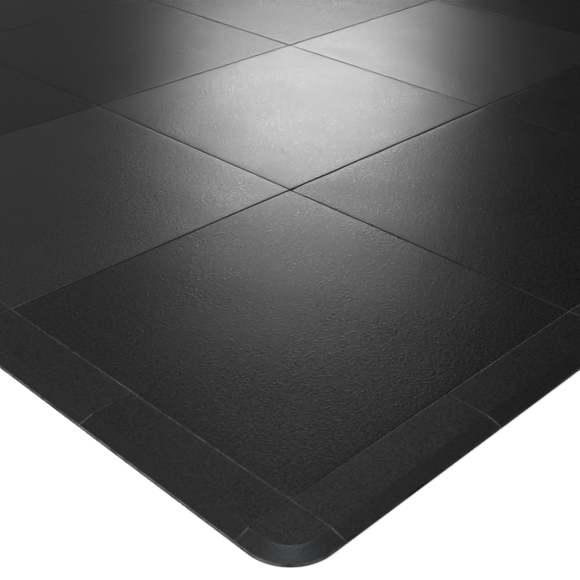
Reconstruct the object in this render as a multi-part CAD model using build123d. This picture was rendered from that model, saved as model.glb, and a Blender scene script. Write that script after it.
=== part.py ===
"""Modular anti-fatigue mat: square tiles framed by bevelled ramps and rounded corner ramps.

The modules butt together with straight seams. Joining plates lie on the floor under the seams,
and the four square studs of each plate stand in sockets moulded into the modules above it.
The origin is on the floor under the mat's centre, +Z is up, and the seams run along X and Y.
"""

import os

from build123d import *

# Layout, in millimetres
tiles_along_x = 4
tiles_along_y = 4
tile_pitch = 914.4  # from one tile seam to the next
ramps_per_tile = 2  # ramps along one side of a tile
seam_gap = 1.0  # air between neighbouring modules

# Section through the mat
mat_thickness = 15.875
seam_round = 3.0  # rounding of the walking surface along every seam

# Ramps
strip_width = 101.6  # level strip between the tiles and the bevel
bevel_run = 34.925
lip_height = 6.35  # upright outer edge
lip_round = 1.2
corner_radius = 101.6  # of the mat's outer corners, seen from above

# Joining plates
plate_side = 92.0
plate_thickness = 3.0
plate_corner_radius = 8.0
stud_side = 18.0
stud_offset = 27.0  # from a seam to the middle of a stud
stud_height = 6.0  # above the plate
stud_lead_in = 1.0  # chamfer round the top of a stud
plate_clearance = 0.8  # round a plate in its recess, and above it
stud_clearance = 0.5  # round a stud in its socket, and above it

# Underside: square pads between crossing channels
pads_per_tile = 8
channel_width = 10.0
channel_depth = 4.0
channel_rim = 24.0  # solid rubber between the end of a channel and a seam

# Values that follow from the ones above
ramp_width = strip_width + bevel_run
ramp_pitch = tile_pitch / ramps_per_tile
seam_inset = seam_gap / 2
pad_pitch = tile_pitch / pads_per_tile
half_x = tiles_along_x * tile_pitch / 2
half_y = tiles_along_y * tile_pitch / 2
on_floor = (Align.CENTER, Align.CENTER, Align.MIN)


def block(low_x, low_y, high_x, high_y, height):
    """A box that stands on the floor between two opposite corners."""
    middle = Pos((low_x + high_x) / 2, (low_y + high_y) / 2)
    return middle * Box(high_x - low_x, high_y - low_y, height, align=on_floor)


def stud_spots():
    """The middles of a joining plate's four studs, seen from the plate's own middle."""
    return [(x, y) for x in (-stud_offset, stud_offset) for y in (-stud_offset, stud_offset)]


def joining_plate():
    """A flat plate with rounded corners and four square studs, centred on a seam crossing."""
    plate = Box(plate_side, plate_side, plate_thickness, align=on_floor)
    plate = fillet(plate.edges().filter_by(Axis.Z), plate_corner_radius)
    stud = Box(stud_side, stud_side, plate_thickness + stud_height, align=on_floor)
    stud = chamfer(stud.faces().sort_by(Axis.Z)[-1].edges(), stud_lead_in)
    return plate + [Pos(x, y) * stud for x, y in stud_spots()]


def plate_room(x, y):
    """The recess for a joining plate and the sockets for its studs, as solids to cut away."""
    recess_side = plate_side + 2 * plate_clearance
    recess = Box(recess_side, recess_side, plate_thickness + plate_clearance, align=on_floor)
    socket_side = stud_side + 2 * stud_clearance
    socket_depth = plate_thickness + stud_height + stud_clearance
    socket = Box(socket_side, socket_side, socket_depth, align=on_floor)
    rooms = [recess] + [Pos(*spot) * socket for spot in stud_spots()]
    return [Pos(x, y) * room for room in rooms]


def channels(low_x, low_y, high_x, high_y, at_x, at_y):
    """Channels across a patch of underside: lines at the given X places and Y places."""
    half = channel_width / 2
    along_y = [block(x - half, low_y, x + half, high_y, channel_depth) for x in at_x]
    along_x = [block(low_x, y - half, high_x, y + half, channel_depth) for y in at_y]
    return along_y + along_x


def round_top(module, wall_places, radius):
    """Rounds the top edges that stand over the seam walls, named as (axis, place) pairs."""
    edges = []
    for edge in module.edges():
        middle = edge.center()
        upright = abs(edge.tangent_at(0.5).Z) > 0.99
        over_wall = any(
            abs((middle.X if axis == "x" else middle.Y) - place) < 1e-4 for axis, place in wall_places
        )
        if over_wall and not upright and middle.Z > lip_height:
            edges.append(edge)
    return fillet(edges, radius)


def round_lip(module):
    """Rounds the edge where the bevel meets the upright outer lip."""
    edges = [
        edge
        for edge in module.edges()
        if abs(edge.center().Z - lip_height) < 1e-4 and abs(edge.tangent_at(0.5).Z) < 1e-4
    ]
    return fillet(edges, lip_round)


def ramp_section(inner, outer):
    """Outline of a ramp from its inner side outwards, as (outward, height) points."""
    return [
        (inner, 0),
        (outer, 0),
        (outer, lip_height),
        (outer - bevel_run, mat_thickness),
        (inner, mat_thickness),
    ]


def tile():
    """A square tile centred on its own middle."""
    half = tile_pitch / 2 - seam_inset
    body = block(-half, -half, half, half, mat_thickness)
    body = fillet(body.faces().sort_by(Axis.Z)[-1].edges(), seam_round)
    reach = half - channel_rim
    lines = [index * pad_pitch - tile_pitch / 2 for index in range(1, pads_per_tile)]
    cuts = channels(-reach, -reach, reach, reach, lines, lines)
    ends = (0, ramps_per_tile)
    for column in range(ramps_per_tile + 1):
        for row in range(ramps_per_tile + 1):
            if column in ends or row in ends:
                x = column * ramp_pitch - tile_pitch / 2
                y = row * ramp_pitch - tile_pitch / 2
                cuts += plate_room(x, y)
    return body - cuts


def straight_ramp():
    """A ramp along +X from the origin, with its seam to the tiles on the X axis."""
    length = ramp_pitch - seam_gap
    section = [(-outward, height) for outward, height in ramp_section(seam_inset, ramp_width)]
    body = extrude(Plane.YZ * make_face(Polyline(*section, close=True)), amount=length, dir=(1, 0, 0))
    body = Pos(seam_inset, 0) * body
    walls = [("x", seam_inset), ("x", ramp_pitch - seam_inset), ("y", -seam_inset)]
    body = round_lip(round_top(body, walls, seam_round))
    lines = [index * pad_pitch for index in range(1, pads_per_tile // ramps_per_tile)]
    cuts = channels(
        channel_rim,
        channel_rim - strip_width,
        ramp_pitch - channel_rim,
        -channel_rim,
        lines,
        [-strip_width / 2],
    )
    return body - cuts - plate_room(0, 0) - plate_room(ramp_pitch, 0)


def corner_ramp():
    """A corner ramp that fills the quarter -X -Y of its seam crossing, rounded outside."""
    turn = ramp_width - corner_radius  # from the seams to the middle of the corner's arc
    section = ramp_section(seam_inset, ramp_width)
    side = extrude(Plane.YZ * make_face(Polyline(*section, close=True)), amount=turn - seam_inset, dir=(1, 0, 0))
    side = Pos(seam_inset, 0) * side
    other_side = mirror(side, about=Plane((0, 0, 0), x_dir=(1, 1, 0), z_dir=(1, -1, 0)))
    arc_section = Plane.XZ * make_face(Polyline(*ramp_section(0, corner_radius), close=True))
    arc = Pos(turn, turn) * revolve(arc_section, axis=Axis.Z, revolution_arc=90)
    body = Rot(Z=180) * (side + other_side + arc)
    walls = [("x", -seam_inset), ("y", -seam_inset)]
    body = round_lip(round_top(body, walls, seam_round))
    return body - plate_room(0, 0)


def modules():
    """Every tile, ramp and corner ramp in its place, by name."""
    placed = {}
    one_tile = tile()
    for row in range(tiles_along_y):
        for column in range(tiles_along_x):
            x = (column + 0.5) * tile_pitch - half_x
            y = (row + 0.5) * tile_pitch - half_y
            placed[f"tile_row{row + 1}_col{column + 1}"] = Pos(x, y) * one_tile
    # The sides follow each other anticlockwise seen from above, each with the corner it starts at
    one_ramp = straight_ramp()
    one_corner = corner_ramp()
    sides = [
        ("front", "front_left", (-half_x, -half_y), tiles_along_x),
        ("right", "front_right", (half_x, -half_y), tiles_along_y),
        ("back", "back_right", (half_x, half_y), tiles_along_x),
        ("left", "back_left", (-half_x, half_y), tiles_along_y),
    ]
    for turns, (side, corner, start, tiles) in enumerate(sides):
        frame = Pos(*start) * Rot(Z=90 * turns)
        placed[f"corner_{corner}"] = frame * one_corner
        for index in range(tiles * ramps_per_tile):
            placed[f"ramp_{side}_{index + 1}"] = frame * Pos(index * ramp_pitch, 0) * one_ramp
    return placed


def joining_plates():
    """A joining plate under every crossing and half-tile point of the seams."""
    one_plate = joining_plate()
    plates = []
    for column in range(tiles_along_x * ramps_per_tile + 1):
        for row in range(tiles_along_y * ramps_per_tile + 1):
            if column % ramps_per_tile == 0 or row % ramps_per_tile == 0:
                spot = Pos(column * ramp_pitch - half_x, row * ramp_pitch - half_y)
                plates.append(spot * one_plate)
    return Compound(children=plates)


def main():
    os.makedirs("parts", exist_ok=True)
    nodes = modules()
    nodes["joining_plates"] = joining_plates()
    for name, shape in nodes.items():
        shape.label = name
        export_step(shape, f"parts/{name}.step")


main()
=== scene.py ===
"""Looks of a modular anti-fatigue mat: moulded rubber tiles, bevelled ramps and corner ramps.

Every module is a mesh with a soft top, upright seam walls, and pads, channels, plate recesses and
stud sockets underneath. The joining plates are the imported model's own, with a better material.
"""

import math
import random

import bpy
import numpy as np
from mathutils import Matrix, Vector


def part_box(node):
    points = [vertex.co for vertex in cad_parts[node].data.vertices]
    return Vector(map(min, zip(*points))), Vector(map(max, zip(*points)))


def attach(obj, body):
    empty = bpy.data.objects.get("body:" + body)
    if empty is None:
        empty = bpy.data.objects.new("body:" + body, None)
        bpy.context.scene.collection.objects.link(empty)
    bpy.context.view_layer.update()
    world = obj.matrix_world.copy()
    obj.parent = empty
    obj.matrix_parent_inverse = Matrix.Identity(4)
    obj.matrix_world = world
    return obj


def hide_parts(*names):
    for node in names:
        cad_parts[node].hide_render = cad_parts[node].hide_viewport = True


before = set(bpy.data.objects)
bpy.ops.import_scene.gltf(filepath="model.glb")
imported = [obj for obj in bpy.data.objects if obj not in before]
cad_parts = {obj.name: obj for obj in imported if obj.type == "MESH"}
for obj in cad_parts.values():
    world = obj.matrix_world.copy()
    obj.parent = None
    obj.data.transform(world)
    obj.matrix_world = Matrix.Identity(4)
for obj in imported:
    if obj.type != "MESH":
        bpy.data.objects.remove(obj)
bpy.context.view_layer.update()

bl_info = {
    "name": "Anti-fatigue mat",
    "version": (1, 0, 0),
    "blender": (4, 5, 0),
    "location": "View3D > Sidebar > Mat",
    "description": "Makes a modular anti-fatigue mat of rubber tiles, ramps and corner ramps",
    "category": "Add Mesh",
}

MM = 0.001
SEED = 7

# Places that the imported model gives: the first tile, its neighbour and the first corner ramp
FIRST_LOW, FIRST_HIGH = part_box("tile_row1_col1")
NEXT_LOW, NEXT_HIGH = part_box("tile_row1_col2")
CORNER_LOW, CORNER_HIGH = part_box("corner_front_left")
TILE_PITCH = NEXT_LOW.x - FIRST_LOW.x
SEAM_INSET = (NEXT_LOW.x - FIRST_HIGH.x) / 2
THICKNESS = FIRST_HIGH.z
FIELD_HALF = SEAM_INSET - FIRST_LOW.x
RAMP_WIDTH = -CORNER_LOW.x - FIELD_HALF
TILES_PER_SIDE = round(2 * FIELD_HALF / TILE_PITCH)
RAMPS_PER_TILE = 2
RAMP_PITCH = TILE_PITCH / RAMPS_PER_TILE

# Underside of every module, where it clears the joining plates and the floor
RECESS_SIDE = 93.6 * MM
RECESS_DEPTH = 3.8 * MM
SOCKET_SIDE = 19 * MM
SOCKET_DEPTH = 9.5 * MM
STUD_OFFSET = 27 * MM
PADS_PER_TILE = 8
PAD_PITCH = TILE_PITCH / PADS_PER_TILE
CHANNEL_WIDTH = 10 * MM
CHANNEL_DEPTH = 4 * MM
CHANNEL_RIM = 24 * MM
STRIP_WIDTH = 101.6 * MM
LEVELS = [0.0, RECESS_DEPTH, CHANNEL_DEPTH, SOCKET_DEPTH]
PLAIN, RECESSED, GROOVED, SOCKETED = range(len(LEVELS))

# Height of the long waves in a ramp's top, which is stiffer than a tile's
RAMP_WAVE = 0.08 * MM

# Grid lines across a rounded edge, as shares of its radius: closer where it turns faster
ROUND_STEPS = [0, 0.03, 0.12, 0.3, 0.6, 1]
# Grid lines across the soft roll behind a rounded edge
ROLL_STEPS = [6 * MM, 10 * MM, 15 * MM]
LONGEST_CELL = 24 * MM
SHORTEST_CELL = 0.02 * MM
SHARP_ANGLE = math.radians(32)

# Shortest and longest waves of a top and swells along its rolled edges, and how far a swell goes
WAVE_LENGTHS = (160 * MM, 500 * MM)
SWELL_LENGTHS = (180 * MM, 450 * MM)
SWELL = 0.35

# Width of the pale line along an edge, partly rubbing and partly a painted highlight
WEAR_AND_HIGHLIGHT_WIDTH = 2 * MM

# Widths of the larger patterns
CLOUD_WIDTH = 250 * MM
STREAK_WIDTH = 45.45 * MM
PIT_WIDTH = 0.8333 * MM
FLOW_WIDTH = 16.667 * MM
PAINT_WIDTH = 333.3 * MM

# Grain of the rubber: height of its bump, and how far it swings the roughness each way
TILE_GRAIN_DEPTH = 0.19 * MM
RAMP_GRAIN_DEPTH = 0.09 * MM
GRAIN_ROUGHNESS = 0.05

# Batches of rubber differ in shine: the tiles' name, gloss and dullness, and the ramps' tone and gloss
TILE_BATCHES = (("plain", 0.35, 0.29), ("bright", 0.72, 0.3), ("dull", 0.31, 0.29))
RAMP_BATCHES = ((1, 0.36), (0.85, 0.33), (1.1, 0.4))
CORNER_GLOSS = 0.36
RAMP_DULLNESS = 0.33


def linear(hex_colour):
    """An sRGB hex colour such as 2B2B2D as linear red, green and blue."""
    channels = [int(hex_colour[place:place + 2], 16) / 255 for place in (0, 2, 4)]
    return [c / 12.92 if c <= 0.04045 else ((c + 0.055) / 1.055) ** 2.4 for c in channels]


# ---------------------------------------------------------------- sizes and colours to set


class MatShape(bpy.types.PropertyGroup):
    """Sizes of the modules' tops."""

    bevel_run: bpy.props.FloatProperty(
        name="Bevel run", description="Level length of the ramps' bevel",
        default=34.925 * MM, unit="LENGTH", precision=4)
    lip_height: bpy.props.FloatProperty(
        name="Lip height", description="Height of the ramps' upright outer lip",
        default=6.35 * MM, unit="LENGTH", precision=4)
    lip_round: bpy.props.FloatProperty(
        name="Lip rounding", description="Radius along the top of the lip",
        default=1.2 * MM, unit="LENGTH", precision=4)
    corner_radius: bpy.props.FloatProperty(
        name="Corner radius", description="Outer radius of a corner ramp, from above",
        default=101.6 * MM, unit="LENGTH", precision=4)
    break_softness: bpy.props.FloatProperty(
        name="Break softness", description="Height over which the strip turns into the bevel",
        default=0.9 * MM, unit="LENGTH", precision=4)
    seam_round: bpy.props.FloatProperty(
        name="Tile edge rounding", description="Radius of the tiles' top edges",
        default=2.5 * MM, unit="LENGTH", precision=4)
    ramp_round: bpy.props.FloatProperty(
        name="Ramp edge rounding", description="Radius of the ramps' top edges along their seams",
        default=1.4 * MM, unit="LENGTH", precision=4)
    roll_depth: bpy.props.FloatProperty(
        name="Edge roll depth", description="How far a tile's top sinks towards the next tile",
        default=0.4 * MM, unit="LENGTH", precision=4)
    roll_width: bpy.props.FloatProperty(
        name="Edge roll width", description="How far in from a seam a tile's top starts to sink",
        default=12 * MM, unit="LENGTH", precision=4)
    border_roll_depth: bpy.props.FloatProperty(
        name="Border roll depth", description="How far a tile's top sinks towards the ramps",
        default=0.9 * MM, unit="LENGTH", precision=4)
    border_roll_width: bpy.props.FloatProperty(
        name="Border roll width", description="How far in from the ramps a tile's top starts to sink",
        default=20 * MM, unit="LENGTH", precision=4)
    wave_height: bpy.props.FloatProperty(
        name="Wave height", description="Height of the long waves in a tile's top",
        default=0.22 * MM, unit="LENGTH", precision=5)


class MatFinish(bpy.types.PropertyGroup):
    """Colours and grain of the materials."""

    tile_colour: bpy.props.FloatVectorProperty(
        name="Tile colour", description="Colour of the tiles' rubber",
        subtype="COLOR", size=3, min=0, max=1, default=linear("1B1B1C"))
    ramp_colour: bpy.props.FloatVectorProperty(
        name="Ramp colour", description="Colour of the ramps' rubber",
        subtype="COLOR", size=3, min=0, max=1, default=linear("1E1E20"))
    # Pale colour along the edges: partly rubbing, partly a painted highlight where an edge catches the
    # light
    rubbed_colour: bpy.props.FloatVectorProperty(
        name="Rubbed colour", description="Colour of edges that handling has rubbed",
        subtype="COLOR", size=3, min=0, max=1, default=linear("7A7A78"))
    plate_colour: bpy.props.FloatVectorProperty(
        name="Plate colour", description="Colour of the joining plates",
        subtype="COLOR", size=3, min=0, max=1, default=linear("5E6062"))
    floor_colour: bpy.props.FloatVectorProperty(
        name="Floor colour", description="Colour of the studio floor",
        subtype="COLOR", size=3, min=0, max=1, default=linear("F8F8F7"))
    grain_width: bpy.props.FloatProperty(
        name="Grain width", description="Width of one pebble of the tiles' grain",
        default=6.5 * MM, unit="LENGTH", precision=4)
    ramp_grain_width: bpy.props.FloatProperty(
        name="Ramp grain width", description="Width of one pebble of the ramps' finer grain",
        default=5 * MM, unit="LENGTH", precision=4)


# ---------------------------------------------------------------- materials


def add_node(tree, kind, settings=None, links=None, **attributes):
    """Adds a node, sets its attributes and input values, and links other sockets into it."""
    node = tree.nodes.new(kind)
    for name, value in attributes.items():
        setattr(node, name, value)
    for name, value in (settings or {}).items():
        node.inputs[name].default_value = value
    for name, socket in (links or {}).items():
        tree.links.new(socket, node.inputs[name])
    return node


def new_material(name):
    """An empty node material and its tree, with an output node."""
    material = bpy.data.materials.new(name)
    material.use_nodes = True
    tree = material.node_tree
    tree.nodes.clear()
    return material, tree, add_node(tree, "ShaderNodeOutputMaterial")


def pressed_rubber(name, colour, rubbed_colour, gloss, dullness, grain_width, grain_depth):
    """Black nitrile rubber pressed in a grained mould.

    The eye gets a near-black body, a broad hazy shine that breaks up over a pebbled grain, cloudy
    patches where the mould left the skin a little duller, and paler lines along the edges: partly
    rubbing, partly a painted highlight where an edge catches the light. Real pebbles are 1 to 2 mm
    wide and would be lost at this distance, so they are drawn coarser.
    """
    material, tree, output = new_material(name)
    place = add_node(tree, "ShaderNodeTexCoord").outputs["Object"]
    # Every module gets its own part of the patterns
    module = add_node(tree, "ShaderNodeObjectInfo").outputs["Random"]
    moved = add_node(
        tree, "ShaderNodeVectorMath", {1: (37, 23, 0)}, {0: module, 2: place},
        operation="MULTIPLY_ADD").outputs["Vector"]
    pebbles = add_node(
        tree, "ShaderNodeTexVoronoi", {"Scale": 1 / grain_width, "Smoothness": 0.5},
        {"Vector": moved}, feature="SMOOTH_F1")
    creases = add_node(
        tree, "ShaderNodeTexNoise",
        {"Scale": 0.85 / grain_width, "Detail": 3, "Roughness": 0.65, "Distortion": 0.3}, {"Vector": moved})
    height = add_node(
        tree, "ShaderNodeMath", {1: 3},
        {0: creases.outputs["Fac"], 2: pebbles.outputs["Distance"]}, operation="MULTIPLY_ADD")
    bump = add_node(
        tree, "ShaderNodeBump", {"Distance": grain_depth}, {"Height": height.outputs["Value"]}, invert=True)
    # Cloudy patches, the largest 250 mm across
    clouds = add_node(
        tree, "ShaderNodeTexNoise",
        {"Scale": 1 / CLOUD_WIDTH, "Detail": 4, "Roughness": 0.5}, {"Vector": moved})
    dulling = add_node(
        tree, "ShaderNodeMapRange",
        {"From Min": 0.3, "From Max": 0.7, "To Min": dullness - 0.012, "To Max": dullness + 0.018},
        {"Value": clouds.outputs["Fac"]}).outputs["Result"]
    # Pebble tops are polished a little, and the creases between them stay dull and hold dust
    depth = add_node(
        tree, "ShaderNodeMapRange", {"From Min": 1.1, "From Max": 2.6, "To Min": -1, "To Max": 1},
        {"Value": height.outputs["Value"]}).outputs["Result"]
    roughness = add_node(
        tree, "ShaderNodeMath", {1: GRAIN_ROUGHNESS}, {0: depth, 2: dulling}, operation="MULTIPLY_ADD")
    # The pale edge line, partly rubbing and partly a painted highlight, comes and goes along an edge
    streaks = add_node(
        tree, "ShaderNodeTexNoise", {"Scale": 1 / STREAK_WIDTH, "Detail": 4, "Roughness": 0.7},
        {"Vector": moved})
    strength = add_node(
        tree, "ShaderNodeMapRange", {"From Min": 0.34, "From Max": 0.66}, {"Value": streaks.outputs["Fac"]})
    edge = add_node(tree, "ShaderNodeAttribute", attribute_name="worn_and_highlit").outputs["Fac"]
    worn_and_highlit = add_node(
        tree, "ShaderNodeMath", links={0: edge, 1: strength.outputs["Result"]},
        operation="MULTIPLY", use_clamp=True).outputs["Value"]
    share = add_node(tree, "ShaderNodeMath", {1: 0.5, 2: 0.5}, {0: depth}, operation="MULTIPLY_ADD")
    tint = add_node(tree, "ShaderNodeValToRGB", links={"Fac": share.outputs["Value"]})
    dark, pale = tint.color_ramp.elements
    dark.color = [c * 0.3 for c in colour] + [1]
    pale.color = [c * 1.7 for c in colour] + [1]
    # The base colour turns pale along the edges: partly rubbing, partly a painted highlight
    skin = add_node(
        tree, "ShaderNodeMix", links={"Factor": worn_and_highlit}, data_type="RGBA")
    skin.inputs["B"].default_value = [*rubbed_colour, 1]
    tree.links.new(tint.outputs["Color"], skin.inputs["A"])
    shader = add_node(
        tree, "ShaderNodeBsdfPrincipled", {"IOR": 1.52, "Specular IOR Level": gloss},
        {
            "Base Color": skin.outputs["Result"],
            "Roughness": roughness.outputs["Value"],
            "Normal": bump.outputs["Normal"],
        })
    tree.links.new(shader.outputs["BSDF"], output.inputs["Surface"])
    return material


def moulded_nylon(name, colour):
    """Injection-moulded nylon: a dull, even grey with the fine sparkle of a spark-eroded mould."""
    material, tree, output = new_material(name)
    place = add_node(tree, "ShaderNodeTexCoord").outputs["Object"]
    # Spark-eroded texture, about 0.8 mm
    pits = add_node(tree, "ShaderNodeTexNoise", {"Scale": 1 / PIT_WIDTH, "Detail": 2}, {"Vector": place})
    flow = add_node(tree, "ShaderNodeTexNoise", {"Scale": 1 / FLOW_WIDTH, "Detail": 4}, {"Vector": place})
    bump = add_node(tree, "ShaderNodeBump", {"Distance": 0.05 * MM}, {"Height": pits.outputs["Fac"]})
    tint = add_node(tree, "ShaderNodeValToRGB", links={"Fac": flow.outputs["Fac"]})
    dark, pale = tint.color_ramp.elements
    dark.color = [c * 0.88 for c in colour] + [1]
    pale.color = [c * 1.1 for c in colour] + [1]
    shader = add_node(
        tree, "ShaderNodeBsdfPrincipled", {"IOR": 1.53, "Roughness": 0.48},
        {"Base Color": tint.outputs["Color"], "Normal": bump.outputs["Normal"]})
    tree.links.new(shader.outputs["BSDF"], output.inputs["Surface"])
    return material


def painted_floor(name, colour):
    """A matt white studio floor: even, with the faintest cloudiness of rolled paint."""
    material, tree, output = new_material(name)
    place = add_node(tree, "ShaderNodeTexCoord").outputs["Object"]
    paint = add_node(tree, "ShaderNodeTexNoise", {"Scale": 1 / PAINT_WIDTH, "Detail": 4}, {"Vector": place})
    tint = add_node(tree, "ShaderNodeValToRGB", links={"Fac": paint.outputs["Fac"]})
    dark, pale = tint.color_ramp.elements
    dark.color = [c * 0.985 for c in colour] + [1]
    pale.color = list(colour) + [1]
    shader = add_node(
        tree, "ShaderNodeBsdfPrincipled", {"Roughness": 0.85}, {"Base Color": tint.outputs["Color"]})
    tree.links.new(shader.outputs["BSDF"], output.inputs["Surface"])
    return material


# ---------------------------------------------------------------- module meshes


def grid_lines(stops):
    """Grid lines through every stop, with spans longer than a cell divided evenly."""
    found = []
    for stop in sorted(stops):
        if not found:
            found.append(stop)
        elif stop - found[-1] > SHORTEST_CELL:
            start = found[-1]
            parts = math.ceil((stop - start) / LONGEST_CELL)
            found += [start + (stop - start) * part / parts for part in range(1, parts + 1)]
    return np.array(found)


def wall_stops(wall, inwards, radius):
    """Stops across the rounded edge over a wall and the roll behind it, inwards (1 or -1) from it."""
    steps = [share * radius for share in ROUND_STEPS] + ROLL_STEPS
    return [wall + inwards * step for step in steps]


def plate_stops(middle, low, high):
    """Stops at the edges of a plate recess and its stud sockets, kept within a module."""
    offsets = [RECESS_SIDE / 2, STUD_OFFSET - SOCKET_SIDE / 2, STUD_OFFSET + SOCKET_SIDE / 2]
    places = [middle + sign * offset for offset in offsets for sign in (-1, 1)]
    return [place for place in places if low < place < high]


def drop(distance, radius):
    """How far a rounded edge lies below its surface, at a distance in from the wall."""
    inside = np.clip(radius - distance, 0, radius)
    return radius - np.sqrt(radius ** 2 - inside ** 2)


class Module:
    """The grid shared by modules of one kind: lines, faces, and the depth of each cell below."""

    def __init__(self, a_stops, b_stops, plates, channels_a=(), channels_b=(), channel_box=None):
        self.a = grid_lines(a_stops)
        self.b = grid_lines(b_stops)
        a_middle = (self.a[1:] + self.a[:-1])[:, None] / 2
        b_middle = (self.b[1:] + self.b[:-1])[None, :] / 2
        level = np.zeros((len(self.a) - 1, len(self.b) - 1), int)
        if channel_box:
            low_a, low_b, high_a, high_b = channel_box
            inside = (a_middle > low_a) & (a_middle < high_a) & (b_middle > low_b) & (b_middle < high_b)
            for middle, places in ((a_middle, channels_a), (b_middle, channels_b)):
                for place in places:
                    level[inside & (abs(middle - place) < CHANNEL_WIDTH / 2)] = GROOVED
        for plate_a, plate_b in plates:
            off_a, off_b = abs(a_middle - plate_a), abs(b_middle - plate_b)
            recess = (off_a < RECESS_SIDE / 2) & (off_b < RECESS_SIDE / 2)
            level[recess] = np.maximum(level[recess], RECESSED)
            half = SOCKET_SIDE / 2
            level[(abs(off_a - STUD_OFFSET) < half) & (abs(off_b - STUD_OFFSET) < half)] = SOCKETED
        self.faces, self.used = self.skin(level)

    def skin(self, level):
        """Closed skin of the cells: top, stepped underside, and every wall between two levels."""
        across, along = len(self.a), len(self.b)
        top = len(LEVELS)

        def point(i, j, layer):
            return (layer * across + i) * along + j

        around = np.pad(level, 1, constant_values=top)
        # A wall has a point at every level that meets its upright edges, so walls join exactly
        met = [
            [sorted(set(around[i:i + 2, j:j + 2].flat) | {top}) for j in range(along)]
            for i in range(across)
        ]
        faces = []

        def upright(place, low, high):
            return [point(*place, layer) for layer in met[place[0]][place[1]] if low <= layer <= high]

        def wall(solid, empty, start, end):
            for low, high, first, last in ((solid, empty, start, end), (empty, solid, end, start)):
                if low < high:
                    faces.append(upright(last, low, high) + upright(first, low, high)[::-1])

        for i in range(across):
            for j in range(along):
                if i < across - 1 and j < along - 1:
                    ring = [(i, j), (i + 1, j), (i + 1, j + 1), (i, j + 1)]
                    faces.append([point(*place, top) for place in ring])
                    faces.append([point(*place, level[i, j]) for place in reversed(ring)])
                if j < along - 1:
                    wall(around[i, j + 1], around[i + 1, j + 1], (i, j), (i, j + 1))
                if i < across - 1:
                    wall(around[i + 1, j + 1], around[i + 1, j], (i, j), (i + 1, j))
        used = sorted({corner for face in faces for corner in face})
        place_of = {corner: place for place, corner in enumerate(used)}
        return [[place_of[corner] for corner in face] for face in faces], np.array(used)

    def mesh(self, name, top, frame_of, bend=None, worn_and_highlit=None):
        """A mesh with the given top heights and pale edges (partly wear, partly painted highlight), put in
        its place by a matrix.
        """
        a, b = np.meshgrid(self.a, self.b, indexing="ij")
        wear_and_highlight_share = worn_and_highlit(a, b) if worn_and_highlit else np.zeros(a.shape)
        if bend:
            a, b = bend(a, b)
        heights = [np.full(a.shape, level) for level in LEVELS] + [top(a, b)]
        points = np.stack([np.stack([a, b, height], -1) for height in heights]).reshape(-1, 3)
        turn = np.array(frame_of)
        points = points[self.used] @ turn[:3, :3].T + turn[:3, 3]
        mesh = bpy.data.meshes.new(name)
        mesh.from_pydata(points.tolist(), [], self.faces)
        # Share of the painted pale edge line at every point: partly wear, partly painted highlight
        wear_and_highlight_per_point = np.tile(wear_and_highlight_share.ravel(), len(heights))[self.used]
        mesh.attributes.new("worn_and_highlit", "FLOAT", "POINT").data.foreach_set("value", wear_and_highlight_per_point)
        mesh.shade_smooth()
        mesh.set_sharp_from_angle(angle=SHARP_ANGLE)
        return mesh


def near(distance, width):
    """1 at a wall and just inside it, falling to 0 at a width in from it."""
    return np.clip(1.4 * (1 - distance / width), 0, 1)


def waves(rng, height):
    """Long low waves of a moulded top, as a function of place."""
    parts = []
    for _ in range(4):
        heading = rng.uniform(0, math.tau)
        length = rng.uniform(*WAVE_LENGTHS)
        parts.append((math.cos(heading), math.sin(heading), math.tau / length, rng.uniform(0, math.tau)))

    def at(a, b):
        return height * sum(np.sin((a * c + b * s) * k + phase) for c, s, k, phase in parts) / 2

    return at


def add_piece(name, mesh, material):
    """Links a module's mesh, lets it ride on its own body and stand for its CAD node."""
    piece = bpy.data.objects.new(f"{name}_skin", mesh)
    bpy.context.scene.collection.objects.link(piece)
    mesh.materials.append(material)
    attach(piece, name)
    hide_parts(name)


# Corners of single tiles that curl down further than the rest, as (depth, reach)
CURLED_CORNERS = {
    ("tile_row1_col2", -1, 1): (2.2 * MM, 38 * MM),
    ("tile_row1_col1", 1, 1): (0.8 * MM, 40 * MM),
    ("tile_row2_col3", -1, 1): (1.2 * MM, 50 * MM),
}
# Edges of single tiles that sink further than the rest, as (depth, width)
SUNK_EDGES = {("tile_row1_col2", 1, 1): (1.6 * MM, 12 * MM)}

# How pale each side's edges are painted, along its lip and where its ramps meet the tiles: partly wear,
# partly painted light, palest on the left side that the left softbox lights and least on the shaded front
SIDE_WEAR_AND_LIGHT = {"front": 0.3, "right": 0.6, "back": 0.6, "left": 1.0}


def tile_top(name, half, shape, borders):
    """Height of a tile's top: rounded and rolled edges, curled corners and long waves."""
    rng = random.Random(f"{SEED} {name}")
    rolls = []
    for axis in (0, 1):
        for side in (-1, 1):
            if (axis, side) in borders:
                depth, width = shape.border_roll_depth, shape.border_roll_width
            else:
                depth, width = shape.roll_depth, shape.roll_width
            depth, width = SUNK_EDGES.get((name, axis, side), (depth, width))
            swell = math.tau / rng.uniform(*SWELL_LENGTHS), rng.uniform(0, math.tau)
            rolls.append((axis, side, depth * rng.uniform(0.7, 1.3), width * rng.uniform(0.8, 1.2), swell))
    wave = waves(rng, shape.wave_height)

    def top(a, b):
        height = THICKNESS - shape.wave_height + wave(a, b)
        rounding = np.zeros(a.shape)
        for axis, side, depth, width, (rate, phase) in rolls:
            distance = half - side * (a, b)[axis]
            # A roll comes and goes along its edge
            share = 1 + SWELL * np.sin(rate * (b, a)[axis] + phase)
            height -= depth * share * np.exp(-distance / width)
            rounding = np.maximum(rounding, drop(distance, shape.seam_round))
        for (tile, side_a, side_b), (depth, reach) in CURLED_CORNERS.items():
            if tile == name:
                away = np.hypot(a - side_a * half, b - side_b * half)
                height -= depth * np.exp(-away / reach)
        return height - rounding

    return top


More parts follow.
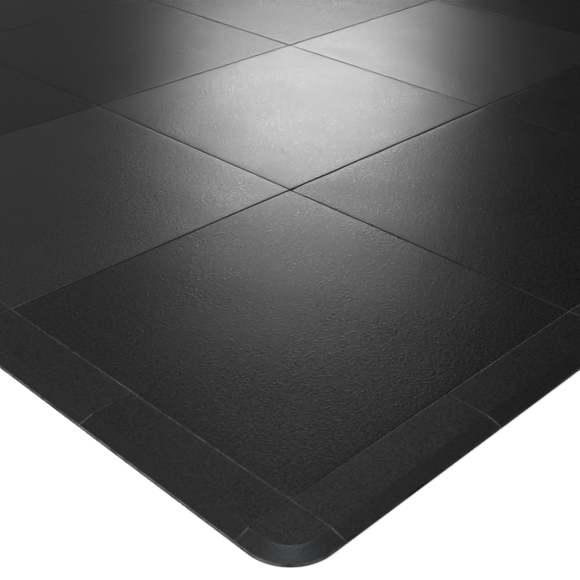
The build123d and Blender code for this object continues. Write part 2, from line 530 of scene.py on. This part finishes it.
def ramp_profile(to_edge, shape):
    """Height of the strip, the bevel and the lip, by distance in from the outer edge."""
    slope = (THICKNESS - shape.lip_height) / shape.bevel_run
    bevel = shape.lip_height + slope * to_edge
    # The two surfaces meet in a soft break, not in a crease
    gap = np.clip(1 - abs(bevel - THICKNESS) / shape.break_softness, 0, 1)
    height = np.minimum(bevel, THICKNESS) - gap ** 2 * shape.break_softness / 4
    return height - drop(to_edge, shape.lip_round)


def ramp_wear_and_highlight(side_walls, inner_wall, to_edge, shape, wear_and_light):
    """Pale edges of a ramp, partly rubbing and partly a painted highlight: most along its end seams on the
    bevel, least there on the strip.
    """
    ends = np.max([near(wall, WEAR_AND_HIGHLIGHT_WIDTH) for wall in side_walls], axis=0)
    ends *= np.where(to_edge < shape.bevel_run, 1.6, 0.4)
    inner = 0.7 * near(inner_wall, WEAR_AND_HIGHLIGHT_WIDTH)
    # The lip's pale line is painted light as well as wear: palest on the lit left side, least on the shaded
    # front
    lip = 0.7 * wear_and_light * near(to_edge, WEAR_AND_HIGHLIGHT_WIDTH)
    return np.max([ends, inner, lip], axis=0)


def outer_stops(shape, edge):
    """Stops across the lip, the bevel and its soft break, for a module that ends at -edge."""
    slope = (THICKNESS - shape.lip_height) / shape.bevel_run
    reach = shape.break_softness / slope
    across_break = [shape.bevel_run + reach * share for share in (-1, -0.6, -0.2, 0.2, 0.6, 1)]
    across_lip = [share * shape.lip_round for share in ROUND_STEPS] + [WEAR_AND_HIGHLIGHT_WIDTH]
    bevel = [shape.bevel_run * share for share in (0.25, 0.5, 0.75)]
    return [-edge + step for step in across_lip + bevel + across_break]


class MatOperator:
    """What the making operators share."""

    bl_options = {"REGISTER", "UNDO"}

    def settings(self, context):
        return context.scene.mat_shape, context.scene.mat_finish


# Batch of each tile, a row of tiles to a line, from the front left
TILE_GRADES = [
    ["plain", "dull", "dull", "plain"],
    ["bright", "bright", "bright", "dull"],
    ["dull", "dull", "dull", "bright"],
    ["plain", "dull", "bright", "plain"],
]


class MAT_OT_make_tiles(MatOperator, bpy.types.Operator):
    """Make the square tiles"""

    bl_idname = "mat.make_tiles"
    bl_label = "Make tiles"

    def execute(self, context):
        shape, finish = self.settings(context)
        half = TILE_PITCH / 2 - SEAM_INSET
        steps = [index * RAMP_PITCH - TILE_PITCH / 2 for index in range(RAMPS_PER_TILE + 1)]
        plates = [(a, b) for a in steps for b in steps if {a, b} & {steps[0], steps[-1]}]
        channels = [index * PAD_PITCH - TILE_PITCH / 2 for index in range(1, PADS_PER_TILE)]
        reach = half - CHANNEL_RIM
        stops = wall_stops(-half, 1, shape.seam_round) + wall_stops(half, -1, shape.seam_round)
        for step in steps:
            stops += plate_stops(step, -half, half)
        stops += [-reach, reach]
        for place in channels:
            stops += [place - CHANNEL_WIDTH / 2, place + CHANNEL_WIDTH / 2]
        grid = Module(stops, stops, plates, channels, channels, (-reach, -reach, reach, reach))
        batches = {
            grade: pressed_rubber(
                f"pressed_nitrile_rubber_{grade}_batch", finish.tile_colour, finish.rubbed_colour,
                gloss, dullness, finish.grain_width, TILE_GRAIN_DEPTH)
            for grade, gloss, dullness in TILE_BATCHES
        }
        last = TILES_PER_SIDE - 1
        for row in range(TILES_PER_SIDE):
            for column in range(TILES_PER_SIDE):
                name = f"tile_row{row + 1}_col{column + 1}"
                low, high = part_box(name)
                centre = Matrix.Translation(((low.x + high.x) / 2, (low.y + high.y) / 2, 0))

                # Borders with the ramps, as (axis, side) and the side of the mat
                borders = {}
                sides = (
                    (column, 0, -1, "left"),
                    (column, 0, 1, "right"),
                    (row, 1, -1, "front"),
                    (row, 1, 1, "back"),
                )
                for at, axis, side, place in sides:
                    if at == (last if side > 0 else 0):
                        borders[axis, side] = place

                def worn_and_highlit(a, b):
                    """The edges that face ramps are painted pale: partly rubbed when the ramps are pulled
                    off, partly a painted highlight, palest on the lit left side.
                    """
                    found = [np.zeros(a.shape)]
                    for (axis, side), place in borders.items():
                        found.append(SIDE_WEAR_AND_LIGHT[place] * near(half - side * (a, b)[axis], WEAR_AND_HIGHLIGHT_WIDTH))
                    return np.max(found, axis=0)

                mesh = grid.mesh(name, tile_top(name, half, shape, borders), centre, worn_and_highlit=worn_and_highlit)
                grade = TILE_GRADES[row][column]
                add_piece(name, mesh, batches[grade])
        return {"FINISHED"}


def side_frames():
    """The mat's four sides, anticlockwise from the front: side, corner name and local frame."""
    starts = [(-1, -1), (1, -1), (1, 1), (-1, 1)]
    names = [
        ("front", "front_left"),
        ("right", "front_right"),
        ("back", "back_right"),
        ("left", "back_left"),
    ]
    frames = []
    for turns, ((side, corner), (x, y)) in enumerate(zip(names, starts)):
        place = Matrix.Translation((x * FIELD_HALF, y * FIELD_HALF, 0))
        frames.append((side, corner, place @ Matrix.Rotation(turns * math.pi / 2, 4, "Z")))
    return frames


class MAT_OT_make_ramps(MatOperator, bpy.types.Operator):
    """Make the straight ramps along the mat's four sides"""

    bl_idname = "mat.make_ramps"
    bl_label = "Make ramps"

    def execute(self, context):
        shape, finish = self.settings(context)
        low, high = SEAM_INSET, RAMP_PITCH - SEAM_INSET
        along = wall_stops(low, 1, shape.ramp_round) + wall_stops(high, -1, shape.ramp_round)
        along += [low + WEAR_AND_HIGHLIGHT_WIDTH, high - WEAR_AND_HIGHLIGHT_WIDTH]
        along += plate_stops(0, low, high) + plate_stops(RAMP_PITCH, low, high)
        channels = [index * PAD_PITCH for index in range(1, PADS_PER_TILE // RAMPS_PER_TILE)]
        along += [CHANNEL_RIM, RAMP_PITCH - CHANNEL_RIM]
        for place in channels:
            along += [place - CHANNEL_WIDTH / 2, place + CHANNEL_WIDTH / 2]
        across = outer_stops(shape, RAMP_WIDTH) + wall_stops(-SEAM_INSET, -1, shape.ramp_round)
        across += plate_stops(0, -RAMP_WIDTH, -SEAM_INSET) + [-SEAM_INSET - WEAR_AND_HIGHLIGHT_WIDTH]
        across += [CHANNEL_RIM - STRIP_WIDTH, -CHANNEL_RIM]
        middle = -STRIP_WIDTH / 2
        across += [middle - CHANNEL_WIDTH / 2, middle + CHANNEL_WIDTH / 2]
        box = (CHANNEL_RIM, CHANNEL_RIM - STRIP_WIDTH, RAMP_PITCH - CHANNEL_RIM, -CHANNEL_RIM)
        grid = Module(along, across, [(0, 0), (RAMP_PITCH, 0)], channels, [middle], box)
        batches = [
            pressed_rubber(
                f"pressed_nitrile_rubber_ramp_batch_{index + 1}", [c * tone for c in finish.ramp_colour],
                finish.rubbed_colour, gloss, RAMP_DULLNESS, finish.ramp_grain_width, RAMP_GRAIN_DEPTH)
            for index, (tone, gloss) in enumerate(RAMP_BATCHES)
        ]

        def walls_of(a, b):
            return a - low, high - a, -SEAM_INSET - b

        for turns, (side, _, start) in enumerate(side_frames()):
            for index in range(TILES_PER_SIDE * RAMPS_PER_TILE):
                name = f"ramp_{side}_{index + 1}"
                wave = waves(random.Random(f"{SEED} {name}"), RAMP_WAVE)

                def top(a, b):
                    rounding = np.max([drop(wall, shape.ramp_round) for wall in walls_of(a, b)], axis=0)
                    return ramp_profile(b + RAMP_WIDTH, shape) - RAMP_WAVE + wave(a, b) - rounding

                # Pale ramp edges, partly rubbing and partly a painted highlight
                def worn_and_highlit(a, b):
                    *ends, inner = walls_of(a, b)
                    return ramp_wear_and_highlight(ends, inner, b + RAMP_WIDTH, shape, SIDE_WEAR_AND_LIGHT[side])

                place = start @ Matrix.Translation((index * RAMP_PITCH, 0, 0))
                mesh = grid.mesh(name, top, place, worn_and_highlit=worn_and_highlit)
                add_piece(name, mesh, batches[(turns + index) % len(batches)])
        return {"FINISHED"}


# Shares of the corner's radius: straight up to the plate recess, fully round inside the bevel
BEND_START = 0.16
BEND_SPAN = 0.42
# Grid lines across the corner's strip, in from its outer edge
CORNER_STEPS = [40 * MM, 50 * MM, 60 * MM, 70 * MM, 80 * MM]


class MAT_OT_make_corner_ramps(MatOperator, bpy.types.Operator):
    """Make the four rounded corner ramps"""

    bl_idname = "mat.make_corner_ramps"
    bl_label = "Make corner ramps"

    def execute(self, context):
        shape, finish = self.settings(context)
        radius = shape.corner_radius
        turn = RAMP_WIDTH - radius

        def bend(a, b):
            """Turns the square outer corner of the grid into an arc, leaving the inner part straight."""
            p, q = np.clip((-a - turn) / radius, 0, 1), np.clip((-b - turn) / radius, 0, 1)
            reach = np.maximum(p, q)
            share = np.minimum(p, q) / np.maximum(reach, 1e-9) * math.pi / 4
            angle = np.where(p >= q, share, math.pi / 2 - share)
            mix = np.clip((reach - BEND_START) / BEND_SPAN, 0, 1)
            mix = mix * mix * (3 - 2 * mix) * (np.minimum(p, q) > 0)
            round_a = -turn - radius * reach * np.cos(angle)
            round_b = -turn - radius * reach * np.sin(angle)
            return a + (round_a - a) * mix, b + (round_b - b) * mix

        def to_edge(a, b):
            """Distance in from the rounded outer outline."""
            past_a, past_b = -a - turn, -b - turn
            around = radius - np.hypot(past_a, past_b)
            straight = radius - np.maximum(past_a, past_b)
            return np.clip(np.where((past_a > 0) & (past_b > 0), around, straight), 0, None)

        stops = outer_stops(shape, RAMP_WIDTH) + wall_stops(-SEAM_INSET, -1, shape.ramp_round)
        stops += plate_stops(0, -RAMP_WIDTH, -SEAM_INSET) + [-turn, -SEAM_INSET - WEAR_AND_HIGHLIGHT_WIDTH]
        stops += [-RAMP_WIDTH + step for step in CORNER_STEPS]
        grid = Module(stops, stops, [(0, 0)])
        material = pressed_rubber(
            "pressed_nitrile_rubber_corner", finish.ramp_colour, finish.rubbed_colour,
            CORNER_GLOSS, RAMP_DULLNESS, finish.ramp_grain_width, RAMP_GRAIN_DEPTH)

        # Pale corner edges, partly rubbing and partly a painted highlight, full along the lip all round
        def worn_and_highlit(a, b):
            ends = (-SEAM_INSET - a, -SEAM_INSET - b)
            return ramp_wear_and_highlight(ends, np.ones(a.shape), np.minimum(a, b) + RAMP_WIDTH, shape, 1.0)

        for _, corner, start in side_frames():
            name = f"corner_{corner}"
            wave = waves(random.Random(f"{SEED} {name}"), RAMP_WAVE)

            def top(a, b):
                walls = (-SEAM_INSET - a, -SEAM_INSET - b)
                rounding = np.max([drop(wall, shape.ramp_round) for wall in walls], axis=0)
                return ramp_profile(to_edge(a, b), shape) - RAMP_WAVE + wave(a, b) - rounding

            add_piece(name, grid.mesh(name, top, start, bend, worn_and_highlit), material)
        return {"FINISHED"}


class MAT_OT_finish_plates(MatOperator, bpy.types.Operator):
    """Give the joining plates their moulded nylon"""

    bl_idname = "mat.finish_plates"
    bl_label = "Finish joining plates"

    def execute(self, context):
        _, finish = self.settings(context)
        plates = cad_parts["joining_plates"]
        material = moulded_nylon("injection_moulded_nylon", finish.plate_colour)
        plates.data.materials.clear()
        plates.data.materials.append(material)
        return {"FINISHED"}


# ---------------------------------------------------------------- stage

FLOOR_HALF = 40.0
FLOOR_DROP = 0.3 * MM
CAMERA_PLACE = (-2.876, -2.866, 1.337)
CAMERA_HEADING = math.radians(44.81)
CAMERA_DOWN = math.radians(30.85)
CAMERA_ROLL = math.radians(0.33)
CAMERA_LENS = 66.8
SKY_BASE = 0.02
# Parts of the sky: direction, cosine from it where the part starts and where it is full, brightness
SKY_PARTS = (
    ((0, 0, 1), 0.62, 0.85, 0.44),
    ((-0.71, 0.71, 0), -0.1, 0.4, 0.17),
    ((-0.6, -0.6, 0.53), 0.2, 0.9, 0.2),
)


def studio_sky():
    """Dim studio walls, brighter on the left and behind the camera, under a soft pale ceiling."""
    world = bpy.data.worlds.new("studio")
    bpy.context.scene.world = world
    world.use_nodes = True
    tree = world.node_tree
    tree.nodes.clear()
    output = add_node(tree, "ShaderNodeOutputWorld")
    direction = add_node(tree, "ShaderNodeTexCoord").outputs["Generated"]
    total = SKY_BASE
    for axis, start, full, brightness in SKY_PARTS:
        towards = add_node(
            tree, "ShaderNodeVectorMath", {1: axis}, {0: direction},
            operation="DOT_PRODUCT").outputs["Value"]
        part = add_node(
            tree, "ShaderNodeMapRange", {"From Min": start, "From Max": full, "To Max": brightness},
            {"Value": towards}, interpolation_type="SMOOTHSTEP").outputs["Result"]
        known = {1: total} if isinstance(total, float) else {}
        links = {0: part} if known else {0: part, 1: total}
        total = add_node(tree, "ShaderNodeMath", known, links, operation="ADD").outputs["Value"]
    light = add_node(tree, "ShaderNodeBackground", {"Color": (1, 1, 1, 1)}, {"Strength": total})
    tree.links.new(light.outputs["Background"], output.inputs["Surface"])


def softbox(name, place, aim, width, height, brightness, colour=(1, 1, 1), shape="RECTANGLE"):
    """A flat soft light of even brightness that faces a point and that the camera doesn't see."""
    data = bpy.data.lights.new(name, "AREA")
    data.color = colour
    data.shape = shape
    data.size, data.size_y = width, height
    # An ellipse fills that share of its rectangle
    filled = math.pi / 4 if shape == "ELLIPSE" else 1
    data.energy = brightness * math.pi * width * height * filled
    light = bpy.data.objects.new(name, data)
    light.location = place
    light.rotation_euler = (Vector(aim) - Vector(place)).to_track_quat("-Z", "Y").to_euler()
    light.visible_camera = False
    bpy.context.scene.collection.objects.link(light)
    return light


class MAT_OT_set_stage(MatOperator, bpy.types.Operator):
    """Lay the studio floor and set the lights and the camera"""

    bl_idname = "mat.set_stage"
    bl_label = "Set stage"

    def execute(self, context):
        _, finish = self.settings(context)
        scene = context.scene
        corners = [(x, y, -FLOOR_DROP) for x, y in ((-1, -1), (1, -1), (1, 1), (-1, 1))]
        corners = [(x * FLOOR_HALF, y * FLOOR_HALF, z) for x, y, z in corners]
        mesh = bpy.data.meshes.new("studio_floor")
        mesh.from_pydata(corners, [], [(0, 1, 2, 3)])
        mesh.materials.append(painted_floor("painted_studio_floor", finish.floor_colour))
        floor = bpy.data.objects.new("studio_floor", mesh)
        scene.collection.objects.link(floor)
        # The mat's rims don't mirror the bright floor
        floor.visible_glossy = False
        studio_sky()
        softbox("rear_softbox", (4.34, 4.06, 2.64), (0, 0, 0), 2.45, 1.05, 11.8, shape="ELLIPSE")
        softbox("left_softbox", (-4.6, 0.2, 1.1), (-1.9, -0.6, 0), 2.4, 1.0, 7)
        # A small cool light over the front corner picks out its bevel
        softbox("corner_softbox", (-0.67, -0.69, 4.0), (-1.9, -1.9, 0), 0.9, 0.9, 8, (0.9, 0.96, 1.0))
        # The floor is washed white by a light of its own, as a studio's background is
        wash = softbox("floor_wash", (0, 0, 7), (0, 0, 0), 14, 14, 1.6)
        lit = bpy.data.collections.new("floor_wash_lights")
        lit.objects.link(floor)
        wash.light_linking.receiver_collection = lit
        data = bpy.data.cameras.new("camera")
        data.lens = CAMERA_LENS
        camera = bpy.data.objects.new("camera", data)
        forward = Vector((
            math.cos(CAMERA_DOWN) * math.cos(CAMERA_HEADING),
            math.cos(CAMERA_DOWN) * math.sin(CAMERA_HEADING),
            -math.sin(CAMERA_DOWN)))
        camera.rotation_mode = "QUATERNION"
        level = forward.to_track_quat("-Z", "Y")
        camera.rotation_quaternion = level @ Matrix.Rotation(CAMERA_ROLL, 4, "Z").to_quaternion()
        camera.location = CAMERA_PLACE
        scene.collection.objects.link(camera)
        scene.camera = camera
        scene.view_settings.view_transform = "Standard"
        return {"FINISHED"}


class MAT_PT_sidebar(bpy.types.Panel):
    """Sizes, finishes and making steps of the mat."""

    bl_idname = "MAT_PT_sidebar"
    bl_label = "Anti-fatigue mat"
    bl_space_type = "VIEW_3D"
    bl_region_type = "UI"
    bl_category = "Mat"

    def draw(self, context):
        for settings in (context.scene.mat_shape, context.scene.mat_finish):
            column = self.layout.column()
            for name in settings.__annotations__:
                column.prop(settings, name)
        for operator in OPERATORS:
            self.layout.operator(operator.bl_idname)


OPERATORS = (
    MAT_OT_make_tiles,
    MAT_OT_make_ramps,
    MAT_OT_make_corner_ramps,
    MAT_OT_finish_plates,
    MAT_OT_set_stage,
)
CLASSES = (MatShape, MatFinish, *OPERATORS, MAT_PT_sidebar)


def register():
    for each in CLASSES:
        bpy.utils.register_class(each)
    bpy.types.Scene.mat_shape = bpy.props.PointerProperty(type=MatShape)
    bpy.types.Scene.mat_finish = bpy.props.PointerProperty(type=MatFinish)


def unregister():
    del bpy.types.Scene.mat_finish
    del bpy.types.Scene.mat_shape
    for each in reversed(CLASSES):
        bpy.utils.unregister_class(each)


def main():
    register()
    bpy.ops.mat.make_tiles()
    bpy.ops.mat.make_ramps()
    bpy.ops.mat.make_corner_ramps()
    bpy.ops.mat.finish_plates()
    bpy.ops.mat.set_stage()


if __name__ == "__main__":
    main()
